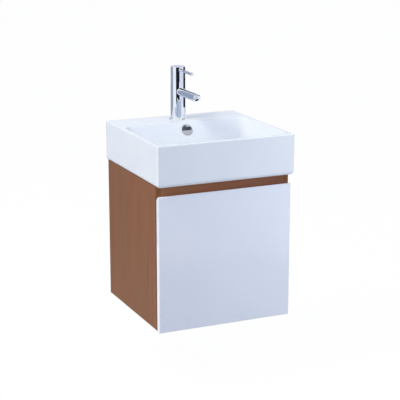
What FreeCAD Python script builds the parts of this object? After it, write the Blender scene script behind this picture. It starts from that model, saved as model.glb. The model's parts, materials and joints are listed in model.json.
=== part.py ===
import FreeCAD
import Part
import os
import re
import Sketcher

# Wall-hung vanity unit: ceramic basin, mixer tap, waste, bottle trap, cabinet and drawer.
# Frame: +Z up, +X to the right, the front faces -Y and the wall is the plane Y = 0.
# The origin is midway between the cabinet's two wall screws. Millimetres.

SIZES = [
    ("basin_width", 480, "basin, side to side"),
    ("basin_depth", 460, "basin, wall to front"),
    ("basin_height", 135, "basin, underside to rim"),
    ("seat_height", 55, "cabinet top above the wall screws"),
    ("basin_corner", 6, "radius of the basin's upright front corners"),
    ("rim_round", 3.5, "radius of the rim's edges"),
    ("base_round", 12, "radius of the basin's lower edge"),
    ("rim_width", 16, "rim at the sides and the front"),
    ("deck_depth", 125, "tap deck, wall to bowl"),
    ("deck_wall", 14, "thickness of the tap deck"),
    ("bowl_depth", 105, "rim to bowl floor"),
    ("bowl_side_run", 14, "how far the bowl's sides and front lean in"),
    ("bowl_back_run", 55, "how far the bowl's back wall leans in"),
    ("bowl_corner", 30, "radius of the bowl's upright corners"),
    ("bowl_floor_round", 26, "radius between the bowl's walls and floor"),
    ("floor_wall", 12, "thickness of the bowl floor"),
    ("back_wall", 12, "thickness of the bowl's back wall"),
    ("ledge_side", 26, "width of the basin's side walls at the seat"),
    ("ledge_front", 48, "width of the basin's front wall at the seat"),
    ("ledge_back", 24, "width of the basin's wall-side wall"),
    ("drain_back", 15, "drain axis behind the middle of the bowl floor"),
    ("drain_hole", 45, "drain bore in the ceramic"),
    ("drain_recess", 66, "recess for the waste flange"),
    ("recess_drop", 3, "depth of that recess"),
    ("dish_diameter", 150, "shallow dish round the drain"),
    ("dish_drop", 4, "fall of the dish"),
    ("drain_boss", 84, "boss under the drain"),
    ("overflow_drop", 26, "overflow centre below the rim"),
    ("overflow_hole", 38, "overflow bore in the ceramic"),
    ("overflow_flange", 41, "flange of the overflow ring"),
    ("overflow_lip", 1.4, "thickness of that flange"),
    ("overflow_wall", 1, "wall of the overflow ring's sleeve"),
    ("overflow_sleeve", 12, "length of the overflow ring's sleeve"),
    ("overflow_plate", 1.5, "plate across the ring's lower half"),
    ("overflow_set", 3, "that plate behind the flange"),
    ("overflow_slot", 0.5, "the slot's lower edge below the centre"),
    ("duct_width", 40, "overflow duct, side to side"),
    ("duct_depth", 18, "overflow duct behind the bowl"),
    ("duct_rise", 9, "overflow duct under the bowl"),
    ("duct_wall", 5, "wall of the overflow duct"),
    ("basin_bolt_spacing", 280, "between the basin's wall bolt holes"),
    ("basin_bolt_rise", 70, "those holes above the seat"),
    ("basin_bolt_hole", 14, "diameter of those holes"),
    ("tap_setback", 62, "wall to tap axis"),
    ("tap_diameter", 50, "tap body and handle cap"),
    ("tap_joint", 147, "top of the tap body above the deck"),
    ("tap_height", 181, "top of the handle cap above the deck"),
    ("tap_joint_gap", 0.8, "gap between the tap body and the cap"),
    ("tap_base_diameter", 61, "base ring"),
    ("tap_base_height", 4, "base ring"),
    ("ring_room", 3.5, "base ring round the shank"),
    ("gasket_diameter", 52, "gasket under the base ring"),
    ("gasket_thickness", 1.5, "gasket under the base ring"),
    ("spout_diameter", 27, "spout"),
    ("spout_rise", 96.5, "spout axis above the deck"),
    ("spout_length", 166, "tap axis to the spout's end"),
    ("spout_round", 6, "radius at the spout's end"),
    ("mouth_tilt", 45, "slanted mouth, degrees from level"),
    ("mouth_setback", 9.5, "mouth's centre behind the spout's end"),
    ("mouth_drop", 4.5, "mouth's centre below the spout's axis"),
    ("spout_bore", 16, "waterway in the spout"),
    ("aerator_flange", 23, "ring of the aerator"),
    ("aerator_thread", 19, "thread of the aerator"),
    ("aerator_neck", 5, "length of that thread"),
    ("aerator_height", 2.5, "visible part of the aerator"),
    ("aerator_bore", 15, "aerator insert"),
    ("aerator_lip", 1, "lip that holds the insert"),
    ("aerator_plate", 2.5, "thickness of the insert"),
    ("cartridge_diameter", 35, "mixing cartridge"),
    ("cartridge_height", 32, "mixing cartridge"),
    ("cartridge_neck", 24, "neck of the cartridge"),
    ("cartridge_nut_diameter", 42, "ring nut over the cartridge"),
    ("cartridge_nut_height", 10, "ring nut over the cartridge"),
    ("cartridge_nut_drop", 1, "ring nut below the tap body's top"),
    ("neck_rise", 1, "cartridge neck above the tap body's top"),
    ("carrier_rise", 1, "carrier above the neck"),
    ("carrier_diameter", 19, "swivelling carrier in the neck"),
    ("carrier_depth", 21, "carrier below the neck's top"),
    ("pivot_drop", 3, "tilt axis below the tap body's top"),
    ("pivot_pin", 3, "tilt pin"),
    ("spindle_width", 8, "spindle, along the tilt axis"),
    ("spindle_depth", 9, "spindle, across the tilt axis"),
    ("spindle_tail", 6, "spindle below the tilt axis"),
    ("spindle_rise", 27, "spindle above the tilt axis"),
    ("lift_angle", 20, "how far the lever lifts, degrees"),
    ("lift_room", 1, "spare angle behind the cap, degrees"),
    ("cap_wall", 4.5, "wall of the handle cap"),
    ("cap_hollow", 10, "depth of the cap's hollow"),
    ("cap_round", 1.2, "radius of the cap's top edge"),
    ("lever_diameter", 10, "pin lever"),
    ("lever_drop", 11, "lever axis below the cap's top"),
    ("lever_reach", 122, "tap axis to the lever's tip"),
    ("lever_root", 9, "tap axis to the lever's inner end"),
    ("lever_round", 1.2, "radius of the lever's tip"),
    ("grub_diameter", 5, "grub screw"),
    ("grub_length", 12, "grub screw"),
    ("grub_key", 2.5, "key socket in the grub screw"),
    ("grub_drop", 16, "grub screw below the cap's top"),
    ("tail_offset", 9, "water inlets beside the tap axis"),
    ("tail_setback", 2, "water inlets behind the tap axis"),
    ("tail_diameter", 10, "supply tails"),
    ("tail_long", 62, "left-hand tail below the shank"),
    ("tail_short", 44, "right-hand tail below the shank"),
    ("tail_passage", 6, "passage from tail to cartridge"),
    ("shank_diameter", 33, "threaded shank under the tap body"),
    ("shank_bury", 12, "shank inside the tap body"),
    ("shank_tail", 8, "shank below the clamp nut"),
    ("shank_room", 1, "tap hole round the shank"),
    ("clamp_width", 8.5, "clamp washer round the shank"),
    ("clamp_thickness", 3, "clamp washer"),
    ("nut_wall", 4, "clamp nut round the shank"),
    ("nut_height", 8, "clamp nut"),
    ("flange_diameter", 64, "waste flange"),
    ("flange_height", 2.5, "waste flange"),
    ("flange_proud", 0.5, "waste flange above the dish"),
    ("flange_bevel", 1.5, "bevel of the waste flange"),
    ("seal_inset", 1, "seal inside the waste flange's edge"),
    ("waste_diameter", 41.5, "waste tube"),
    ("waste_bore", 35, "waste tube"),
    ("waste_length", 80, "waste tube below the dish"),
    ("waste_window", 20, "overflow windows in the waste tube"),
    ("back_seal_height", 3, "seal under the drain boss"),
    ("back_nut_diameter", 60, "back nut and its seal"),
    ("back_nut_height", 12, "back nut"),
    ("back_nut_notch", 8, "wrench notches in the back nut"),
    ("plug_diameter", 60, "push plug"),
    ("plug_edge", 2, "edge of the push plug"),
    ("plug_crown", 2.5, "crown of the push plug"),
    ("plug_gap", 0.4, "closed plug above the flange"),
    ("stem_diameter", 8, "plug stem"),
    ("stem_length", 48, "plug stem"),
    ("guide_height", 8, "stem guide"),
    ("guide_drop", 36, "stem guide's top below the dish"),
    ("guide_hole", 9, "water holes in the stem guide"),
    ("pipe_diameter", 32, "trap pipes"),
    ("pipe_wall", 1.8, "trap pipes"),
    ("trap_nut_diameter", 54, "trap nuts"),
    ("trap_nut_lip", 6, "lip of a trap nut"),
    ("trap_nut_skirt", 18, "skirt of a trap nut"),
    ("nut_flute", 6, "grip flutes of the trap nuts and cup"),
    ("collar_height", 6, "collar of the dip tube"),
    ("dip_length", 120, "dip tube below its collar"),
    ("trap_neck_drop", 44, "union nut to the trap's neck"),
    ("trap_neck_diameter", 42, "threaded necks of the trap"),
    ("trap_shoulder", 8, "shoulder of the trap"),
    ("trap_diameter", 62, "trap body"),
    ("trap_wall", 3, "trap body"),
    ("trap_height", 106, "trap body, neck to lower end"),
    ("outlet_drop", 46, "outlet axis below the trap's neck"),
    ("outlet_spigot", 62, "drain axis to the outlet spigot's end"),
    ("pipe_bury", 16, "outlet pipe inside the spigot"),
    ("pipe_free", 42, "free end of the outlet pipe at the wall"),
    ("bead_width", 3, "stop bead on the outlet pipe"),
    ("bead_height", 1.6, "stop bead on the outlet pipe"),
    ("cup_skirt", 22, "cup over the trap body"),
    ("cup_depth", 26, "cup below the trap body"),
    ("cup_floor", 4, "floor of the cup"),
    ("cup_round", 8, "rounded foot of the cup"),
    ("cabinet_inset", 6, "cabinet inside the basin's sides"),
    ("cabinet_setback", 31, "cabinet behind the basin's front"),
    ("cabinet_height", 478, "cabinet, top to bottom"),
    ("board", 16, "cabinet boards"),
    ("edge_round", 0.8, "eased edges of the boards"),
    ("front_rail_height", 70, "front rail"),
    ("hanging_rail_height", 100, "hanging rail"),
    ("lower_rail_height", 100, "lower back rail"),
    ("hang_spacing", 300, "between the wall screws"),
    ("hang_hole", 8, "wall screw holes"),
    ("dowel_diameter", 8, "dowels"),
    ("dowel_bury", 10, "dowel inside a side panel"),
    ("dowel_reach", 20, "dowel inside a rail"),
    ("dowel_inset", 20, "dowels from a rail's edges"),
    ("dowel_front", 60, "bottom dowels from the cabinet's ends"),
    ("front_board", 16, "drawer front"),
    ("front_gap", 3, "drawer front to cabinet"),
    ("front_drop", 4, "drawer front below the cabinet"),
    ("finger_gap", 30, "basin to the drawer front's top"),
    ("bevel_height", 12, "bevel behind the front's top edge"),
    ("bevel_land", 4, "flat top edge before the bevel"),
    ("front_round", 3, "eased edges of the front"),
    ("drawer_board", 12, "drawer box"),
    ("drawer_floor", 8, "drawer bottom"),
    ("drawer_height", 240, "drawer box"),
    ("drawer_room", 32, "drawer box to the wall"),
    ("drawer_lift", 24, "drawer box above the cabinet floor"),
    ("recess_width", 150, "drawer recess round the trap"),
    ("recess_room", 30, "trap to the recess's front wall"),
    ("front_screw", 4, "screws that hold the front"),
    ("front_screw_bite", 12, "those screws inside the front"),
    ("front_screw_head", 8.5, "head of those screws"),
    ("front_screw_cap", 2.4, "thickness of that head"),
    ("front_screw_spacing", 300, "those screws, side to side"),
    ("front_screw_inset", 60, "those screws from the box's edges"),
    ("bumper_diameter", 8, "bumpers behind the front"),
    ("bumper_height", 2.6, "bumpers behind the front"),
    ("bumper_inset", 40, "bumpers from the cabinet's corners"),
    ("runner_width", 12.7, "runner between cabinet and drawer"),
    ("runner_height", 45, "runner"),
    ("runner_room", 35, "runner to the wall"),
    ("runner_setback", 4, "runner behind the cabinet's front"),
    ("runner_rise", 120, "runner axis above the drawer's underside"),
    ("runner_steel", 1.2, "runner sheet"),
    ("outer_flange", 9.6, "flange of the outer member"),
    ("middle_start", 3, "middle member's web from the cabinet side"),
    ("middle_end", 10.6, "middle member's flange from the cabinet side"),
    ("inner_start", 6, "inner member's flange from the cabinet side"),
    ("ball_diameter", 4, "runner balls"),
    ("ball_play", 0.05, "running play of the balls"),
    ("ball_count", 6, "balls in a row"),
    ("ball_pitch", 30, "balls in a row"),
    ("cage_sheet", 0.6, "ball cages"),
    ("cage_end", 15, "cage beyond the last ball"),
    ("runner_screw", 3.4, "runner screws"),
    ("runner_screw_head", 6.4, "runner screws"),
    ("runner_screw_bite", 10, "runner screws inside a board"),
    ("runner_screw_pitch", 150, "between the runner screws"),
    ("fit", 0.1, "radial clearance of a fixed fit"),
    ("running_fit", 0.05, "radial clearance of a moving fit"),
    ("thread_fit", 0.2, "radial clearance of a screwed joint"),
]

doc = FreeCAD.newDocument("vanity_unit")
dims = doc.addObject("Spreadsheet::Sheet", "dims")
for row, (alias, size, note) in enumerate(SIZES, start=1):
    dims.set(f"A{row}", note)
    dims.set(f"B{row}", str(size))
    dims.setAlias(f"B{row}", alias)
doc.recompute()
ALIASES = {alias for alias, size, note in SIZES}
SUBPARTS = []

# Levels and lines that several pieces share.
RIM = "(seat_height + basin_height)"
FLOOR = "(seat_height + basin_height - bowl_depth)"
DISH = f"({FLOOR} - dish_drop)"
FLOOR_BACK = "(deck_depth + bowl_back_run)"
FLOOR_FRONT = "(basin_depth - rim_width - bowl_side_run)"
DRAIN = f"(({FLOOR_BACK} + {FLOOR_FRONT}) / 2 - drain_back)"
HOLLOW = "(basin_height - bowl_depth - floor_wall)"
CABINET_BASE = "(seat_height - cabinet_height)"
CABINET_HALF = "(basin_width / 2 - cabinet_inset)"
INSIDE = f"({CABINET_HALF} - board)"
CABINET_DEPTH = "(basin_depth - cabinet_setback)"
FRONT_BACK = f"(-{CABINET_DEPTH} - front_gap)"
DRAWER_BASE = f"({CABINET_BASE} + board + drawer_lift)"
DRAWER_END = "(-drawer_room)"
DRAWER_HALF = f"({INSIDE} - runner_width)"
RUNNER_FRONT = f"(-{CABINET_DEPTH} + runner_setback)"
RUNNER_LENGTH = f"(-runner_room - {RUNNER_FRONT})"
RUNNER_MID = f"({RUNNER_FRONT} + {RUNNER_LENGTH} / 2)"
RUNNER_Z = f"({DRAWER_BASE} + runner_rise)"
LEAN = "(90 - atan(bowl_back_run / bowl_depth) / 1deg)"
OVERFLOW_Y = "(-deck_depth - bowl_back_run * overflow_drop / bowl_depth)"
WASTE_END = f"({DISH} - waste_length - seat_height)"
NECK = f"({WASTE_END} - collar_height - trap_neck_drop)"
OUTLET = f"({NECK} - outlet_drop)"
TRAP_END = f"({NECK} - trap_height)"
CUP_RADIUS = "(trap_diameter / 2 + thread_fit + trap_wall)"


def formula(text):
    """Turns size names into references to the sheet."""
    return re.sub(r"[a-z_]+", lambda w: f"dims.{w.group()}" if w.group() in ALIASES else w.group(), text)


def number(text):
    """Present value of a formula."""
    result = dims.evalExpression(formula(text))
    return float(getattr(result, "Value", result))


def bind(obj, **sizes):
    for name, text in sizes.items():
        obj.setExpression(name, formula(text))


def place(obj, x="0", y="0", z="0", axis=(0, 0, 1), angle="0"):
    """Puts an object at a point, turned about an axis through it."""
    turn_axis = "vector({}; {}; {})".format(*axis)
    text = f"placement(vector({x}; {y}; {z}); rotation({turn_axis}; {angle}))"
    obj.setExpression("Placement", formula(text))


def subpart(obj, name):
    obj.Label = name
    SUBPARTS.append(obj)
    return obj


def new_body(name, **where):
    body = doc.addObject("PartDesign::Body", name)
    place(body, **where)
    return subpart(body, name)


def new_sketch(body, plane, offset="0"):
    sketch = body.newObject("Sketcher::SketchObject", body.Name + "_sketch")
    support = next(f for f in body.Origin.OriginFeatures if f.Role == plane)
    sketch.AttachmentSupport = [(support, "")]
    sketch.MapMode = "FlatFace"
    sketch.setExpression("AttachmentOffset.Base.z", formula(offset))
    return sketch


def pin_point(sketch, geo, pos, x, y):
    """Ties a sketch point to the origin by two sizes."""
    for kind, text, line in (("DistanceX", x, -2), ("DistanceY", y, -1)):
        if text == "0":
            sketch.addConstraint(Sketcher.Constraint("PointOnObject", geo, pos, line))
            continue
        index = sketch.addConstraint(Sketcher.Constraint(kind, -1, 1, geo, pos, number(text)))
        sketch.setExpression(f"Constraints[{index}]", formula(text))


def outline(sketch, points):
    """Closed outline of straight lines."""
    corners = [FreeCAD.Vector(number(x), number(y), 0) for x, y in points]
    first = sketch.GeometryCount
    count = len(points)
    for i in range(count):
        sketch.addGeometry(Part.LineSegment(corners[i], corners[(i + 1) % count]))
    for i in range(count):
        sketch.addConstraint(Sketcher.Constraint("Coincident", first + i, 2, first + (i + 1) % count, 1))
    for i in range(count):
        pin_point(sketch, first + i, 1, *points[i])


def rectangle(sketch, x_low, y_low, x_high, y_high):
    outline(sketch, [(x_low, y_low), (x_high, y_low), (x_high, y_high), (x_low, y_high)])


def circle(sketch, x, y, diameter):
    centre = FreeCAD.Vector(number(x), number(y), 0)
    geo = sketch.addGeometry(Part.Circle(centre, FreeCAD.Vector(0, 0, 1), number(diameter) / 2))
    pin_point(sketch, geo, 3, x, y)
    index = sketch.addConstraint(Sketcher.Constraint("Diameter", geo, number(diameter)))
    sketch.setExpression(f"Constraints[{index}]", formula(diameter))


def extrude(kind, body, sketch, length, flip=False, both=False):
    feature = body.newObject(f"PartDesign::{kind}", f"{body.Name}_{kind.lower()}")
    feature.Profile = sketch
    feature.Reversed = flip
    if both:
        feature.SideType = "Symmetric"
    bind(feature, Length=length)
    return feature


def revolve(kind, body, sketch):
    feature = body.newObject(f"PartDesign::{kind}", f"{body.Name}_{kind.lower()}")
    feature.Profile = sketch
    feature.ReferenceAxis = (sketch, ["V_Axis"])
    feature.Angle = 360
    return feature


def round_edges(body, radius, chosen):
    doc.recompute()
    base = body.Tip
    names = [f"Edge{i}" for i, edge in enumerate(base.Shape.Edges, start=1) if chosen(edge)]
    feature = body.newObject("PartDesign::Fillet", body.Name + "_fillet")
    feature.Base = (base, names)
    bind(feature, Radius=radius)
    return feature


def box_of(edge):
    return edge.BoundBox


def near(a, b):
    return abs(a - b) < 0.01


def turned(name, points, plane="XZ_Plane", **where):
    """A piece turned about its own upright axis, from a half section."""
    body = new_body(name, **where)
    sketch = new_sketch(body, plane)
    outline(sketch, points)
    revolve("Revolution", body, sketch)
    return body


def tube(name, outer, inner, low, high, plane="XZ_Plane", **where):
    points = [(inner, low), (outer, low), (outer, high), (inner, high)]
    return turned(name, points, plane, **where)


def board(name, low, high):
    """A straight board between two corners."""
    body = new_body(name)
    sketch = new_sketch(body, "XY_Plane", low[2])
    rectangle(sketch, low[0], low[1], high[0], high[1])
    extrude("Pad", body, sketch, f"{high[2]} - ({low[2]})")
    return body


def drill_x(body, face, points, diameter, depth, flip=False):
    """Blind holes along X from a face; without flip they run towards -X."""
    sketch = new_sketch(body, "YZ_Plane", face)
    for y, z in points:
        circle(sketch, y, z, diameter)
    extrude("Pocket", body, sketch, depth, flip)


def drill_front(body, face, points, diameter, depth):
    """Holes that run from a face towards the front."""
    sketch = new_sketch(body, "XZ_Plane", f"-({face})")
    for x, z in points:
        circle(sketch, x, z, diameter)
    extrude("Pocket", body, sketch, depth, flip=True)


def make_basin():
    body = new_body("basin")
    half = "basin_width / 2"
    block = new_sketch(body, "XY_Plane", "seat_height")
    rectangle(block, f"-{half}", "-basin_depth", half, "0")
    extrude("Pad", body, block, "basin_height")
    front = -number("basin_depth")
    seat = number("seat_height")
    top = number(RIM)

    def upright_front(edge):
        return box_of(edge).ZLength > 1 and near(box_of(edge).YMax, front)

    def upper_edge(edge):
        return near(box_of(edge).ZMin, top) and box_of(edge).YMin < -1

    def lower_edge(edge):
        return near(box_of(edge).ZMax, seat) and box_of(edge).YMin < -1

    round_edges(body, "basin_corner", upright_front)
    round_edges(body, "rim_round", upper_edge)
    round_edges(body, "base_round", lower_edge)
    make_bowl(body)
    hollow_basin(body)
    cut_drain(body)
    tap_hole = new_sketch(body, "XY_Plane", RIM)
    circle(tap_hole, "0", "-tap_setback", "shank_diameter + 2 * shank_room")
    extrude("Pocket", body, tap_hole, "deck_wall * 2")
    bolts = [(f"{side}basin_bolt_spacing / 2", "seat_height + basin_bolt_rise") for side in ("-", "")]
    drill_front(body, "0", bolts, "basin_bolt_hole", "ledge_back * 1.5")


def make_bowl(body):
    """Bowl with leaning walls, rounded corners and a rounded rim."""
    half = "(basin_width / 2 - rim_width)"
    front = "(-basin_depth + rim_width)"
    mouth = new_sketch(body, "XY_Plane", RIM)
    rectangle(mouth, f"-{half}", front, half, "-deck_depth")
    floor = new_sketch(body, "XY_Plane", FLOOR)
    rectangle(floor, f"-{half} + bowl_side_run", f"-{FLOOR_FRONT}",
              f"{half} - bowl_side_run", f"-{FLOOR_BACK}")
    bowl = body.newObject("PartDesign::SubtractiveLoft", "basin_bowl")
    bowl.Profile = mouth
    bowl.Sections = [floor]
    bowl.Ruled = True
    top = number(RIM)
    low = number(FLOOR)
    reach = number("basin_width / 2 - 1")

    def corner(edge):
        box = box_of(edge)
        return near(box.ZMax, top) and near(box.ZMin, low) and box.XLength < 60

    def floor_edge(edge):
        return near(box_of(edge).ZMax, low)

    def mouth_edge(edge):
        box = box_of(edge)
        inner = max(abs(box.XMin), abs(box.XMax)) < reach - number("rim_width") + 1.5
        return near(box.ZMin, top) and inner and box.YMax < -number("deck_depth") + 1

    round_edges(body, "bowl_corner", corner)
    round_edges(body, "bowl_floor_round", floor_edge)
    round_edges(body, "rim_round", mouth_edge)


def hollow_basin(body):
    """Hollow under the floor and the deck, drain boss and overflow duct."""
    wide = "(basin_width / 2 - ledge_side)"
    under = new_sketch(body, "XY_Plane", "seat_height")
    rectangle(under, f"-{wide}", "-basin_depth + ledge_front", wide, "-ledge_back")
    extrude("Pocket", body, under, HOLLOW, flip=True)
    deck_under = f"({RIM} - deck_wall)"
    wall_top = "(-deck_depth + back_wall)"
    wall_foot = "(-deck_depth + back_wall - bowl_back_run)"
    behind = new_sketch(body, "YZ_Plane")
    outline(behind, [("-ledge_back", "seat_height"), ("-ledge_back", deck_under), (wall_top, deck_under),
                     (wall_foot, f"seat_height + {HOLLOW}"), (wall_foot, "seat_height")])
    extrude("Pocket", body, behind, f"2 * {wide}", both=True)
    boss = new_sketch(body, "XY_Plane", "seat_height")
    circle(boss, "0", f"-{DRAIN}", "drain_boss")
    extrude("Pad", body, boss, f"{HOLLOW} + floor_wall / 2")
    back = "(duct_depth + duct_wall)"
    shell = new_sketch(body, "YZ_Plane")
    outline(shell, [(f"{wall_top} - duct_wall", f"{deck_under} + duct_wall"),
                    (f"{wall_top} + {back}", f"{deck_under} + duct_wall"),
                    (f"{wall_foot} + {back}", "seat_height"), (f"-{DRAIN}", "seat_height"),
                    (f"-{DRAIN}", f"seat_height + {HOLLOW} + duct_wall"),
                    (f"{wall_foot} - duct_wall", f"seat_height + {HOLLOW} + duct_wall")])
    extrude("Pad", body, shell, "duct_width + 2 * duct_wall", both=True)
    duct_top = f"seat_height + {HOLLOW} - duct_wall"
    duct_low = f"seat_height + {HOLLOW} - duct_wall - duct_rise"
    duct = new_sketch(body, "YZ_Plane")
    outline(duct, [(wall_top, deck_under), (f"{wall_top} + duct_depth", deck_under),
                   (f"{wall_foot} + duct_depth", duct_low), (f"-{DRAIN}", duct_low),
                   (f"-{DRAIN}", duct_top), (wall_foot, duct_top)])
    extrude("Pocket", body, duct, "duct_width", both=True)
    hole = body.newObject("PartDesign::SubtractiveCylinder", "basin_overflow")
    reach = "(back_wall + duct_depth / 2)"
    bind(hole, Radius="overflow_hole / 2", Height=f"2 * {reach}")
    place(hole, "0", f"{OVERFLOW_Y} + {reach} * sin({LEAN} * 1deg)",
          f"{RIM} - overflow_drop - {reach} * cos({LEAN} * 1deg)", (1, 0, 0), LEAN)


def cut_drain(body):
    """Shallow dish, flange recess and drain bore, turned about the drain axis."""
    sketch = new_sketch(body, "XZ_Plane", DRAIN)
    above = f"{FLOOR} + dish_drop / 2"
    rebate = f"{DISH} - recess_drop"
    outline(sketch, [("0", above), ("dish_diameter / 2", above), ("dish_diameter / 2", FLOOR),
                     ("drain_recess / 2", DISH), ("drain_recess / 2", rebate), ("drain_hole / 2", rebate),
                     ("drain_hole / 2", "seat_height - recess_drop"), ("0", "seat_height - recess_drop")])
    revolve("Groove", body, sketch)


def make_overflow_ring():
    sleeve = "(overflow_hole / 2 - fit)"
    bore = f"({sleeve} - overflow_wall)"
    flange = "overflow_flange / 2"
    body = new_body("overflow_ring", y=OVERFLOW_Y, z=f"{RIM} - overflow_drop", axis=(1, 0, 0), angle=LEAN)
    plate = new_sketch(body, "XY_Plane", "-overflow_set")
    circle(plate, "0", "0", f"{sleeve} + {bore}")
    extrude("Pad", body, plate, "overflow_plate", flip=True)
    slot = new_sketch(body, "XY_Plane", "0")
    rectangle(slot, "-overflow_hole", "-overflow_slot", "overflow_hole", "overflow_hole")
    extrude("Pocket", body, slot, "overflow_sleeve")
    ring = new_sketch(body, "XZ_Plane")
    outline(ring, [(bore, "-overflow_sleeve"), (sleeve, "-overflow_sleeve"), (sleeve, "0"), (flange, "0"),
                   (flange, "overflow_lip / 2"), (f"{flange} - overflow_lip / 2", "overflow_lip"),
                   (f"{bore} + overflow_lip / 2", "overflow_lip"), (bore, "overflow_lip / 2")])
    revolve("Revolution", body, ring)


def make_tap():
    """Fixed pieces of the tap, in heights above the deck."""
    at = {"y": "-tap_setback", "z": RIM}
    bore = "(shank_diameter / 2 + ring_room)"
    tube("tap_base_gasket", "gasket_diameter / 2", bore, "0", "gasket_thickness", **at)
    recess = "(gasket_diameter / 2 + fit)"
    edge = "(tap_base_diameter / 2)"
    turned("tap_base_ring",
           [(bore, "gasket_thickness"), (recess, "gasket_thickness"), (recess, "0"), (edge, "0"),
            (edge, "tap_base_height / 2"), (f"{edge} - tap_base_height / 4", "tap_base_height"),
            (bore, "tap_base_height")], **at)
    make_tap_body(at)
    make_shank(at)
    make_cartridge(at)
    make_aerator()


def make_tap_body(at):
    """Round body with the straight spout and its slanted mouth, waterway, inlets and cartridge pocket."""
    body = new_body("tap_body", **at)
    column = new_sketch(body, "XY_Plane", "tap_base_height")
    circle(column, "0", "0", "tap_diameter")
    extrude("Pad", body, column, "tap_joint - tap_base_height")
    spout = new_sketch(body, "XZ_Plane")
    circle(spout, "0", "spout_rise", "spout_diameter")
    extrude("Pad", body, spout, "spout_length")
    end = -number("spout_length")
    round_edges(body, "spout_round",
                lambda edge: near(box_of(edge).YMin, end) and near(box_of(edge).YMax, end))
    mouth_y = "(-spout_length + mouth_setback)"
    mouth_z = "(spout_rise - mouth_drop)"
    out = "spout_diameter * cos(mouth_tilt * 1deg)"
    rise = "spout_diameter * sin(mouth_tilt * 1deg)"
    slant = new_sketch(body, "YZ_Plane")
    outline(slant, [(f"{mouth_y} - {out}", f"{mouth_z} + {rise}"),
                    (f"{mouth_y} - {out}", f"{mouth_z} - {rise}"),
                    (f"{mouth_y} + {out}", f"{mouth_z} - {rise}")])
    extrude("Pocket", body, slant, "2 * spout_diameter", both=True)
    pocket_low = "(tap_joint - cartridge_nut_drop - cartridge_nut_height - cartridge_height)"
    upper = new_sketch(body, "XY_Plane", "tap_joint")
    circle(upper, "0", "0", "cartridge_nut_diameter")
    extrude("Pocket", body, upper, "cartridge_nut_drop + cartridge_nut_height")
    lower = new_sketch(body, "XY_Plane", "tap_joint")
    circle(lower, "0", "0", "cartridge_diameter + 2 * fit")
    extrude("Pocket", body, lower, f"tap_joint - {pocket_low}")
    start = "(spout_bore / 4)"
    waterway = new_sketch(body, "XZ_Plane", start)
    circle(waterway, "0", "spout_rise", "spout_bore")
    extrude("Pocket", body, waterway, f"spout_length - 2 * mouth_setback - {start}", flip=True)
    for wide, deep in (("aerator_thread", "aerator_neck"), ("aerator_bore", "spout_bore * 0.75")):
        bore = body.newObject("PartDesign::SubtractiveCylinder", "mouth_bore")
        bind(bore, Radius=f"{wide} / 2", Height=deep)
        place(bore, "0", mouth_y, mouth_z, (1, 0, 0), "-mouth_tilt")
    riser = new_sketch(body, "XY_Plane", pocket_low)
    circle(riser, "0", "-cartridge_diameter / 2 + spout_bore / 3", "spout_bore / 2")
    extrude("Pocket", body, riser, f"{pocket_low} - spout_rise")
    seat = new_sketch(body, "XY_Plane", "tap_base_height")
    circle(seat, "0", "0", "shank_diameter + 2 * fit")
    extrude("Pocket", body, seat, "shank_bury", flip=True)
    passages = new_sketch(body, "XY_Plane", "tap_base_height")
    for side in ("-", ""):
        circle(passages, f"{side}tail_offset", "tail_setback", "tail_passage")
    extrude("Pocket", body, passages, f"{pocket_low} - tap_base_height + tail_passage", flip=True)


def make_shank(at):
    """Threaded shank through the deck with the two supply tails, its washer and its nut."""
    washer_low = "(-deck_wall - clamp_thickness)"
    nut_low = f"({washer_low} - nut_height)"
    low = f"({nut_low} - shank_tail)"
    length = f"(tap_base_height + shank_bury - {low})"
    shank = new_body("tap_shank", **at)
    column = new_sketch(shank, "XY_Plane", low)
    circle(column, "0", "0", "shank_diameter")
    extrude("Pad", shank, column, length)
    passages = new_sketch(shank, "XY_Plane", f"{low} - tail_long")
    for side, free in (("-", "tail_long"), ("", "tail_short")):
        tail = new_sketch(shank, "XY_Plane", low)
        circle(tail, f"{side}tail_offset", "tail_setback", "tail_diameter")
        extrude("Pad", shank, tail, free, flip=True)
        circle(passages, f"{side}tail_offset", "tail_setback", "tail_passage")
    extrude("Pocket", shank, passages, f"2 * ({length} + tail_long)", flip=True)
    tube("tap_clamp_washer", "shank_diameter / 2 + clamp_width", "shank_diameter / 2 + thread_fit",
         washer_low, "-deck_wall", **at)
    nut = new_body("tap_clamp_nut", **at)
    hexagon = new_sketch(nut, "XY_Plane", nut_low)
    flat = "(shank_diameter / 2 + nut_wall)"
    corner = f"(2 * {flat} / sqrt(3))"
    outline(hexagon, [(corner, "0"), (f"{corner} / 2", flat), (f"-{corner} / 2", flat),
                      (f"-{corner}", "0"), (f"-{corner} / 2", f"-{flat}"), (f"{corner} / 2", f"-{flat}")])
    circle(hexagon, "0", "0", "shank_diameter + 2 * fit")
    extrude("Pad", nut, hexagon, "nut_height")


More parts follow.
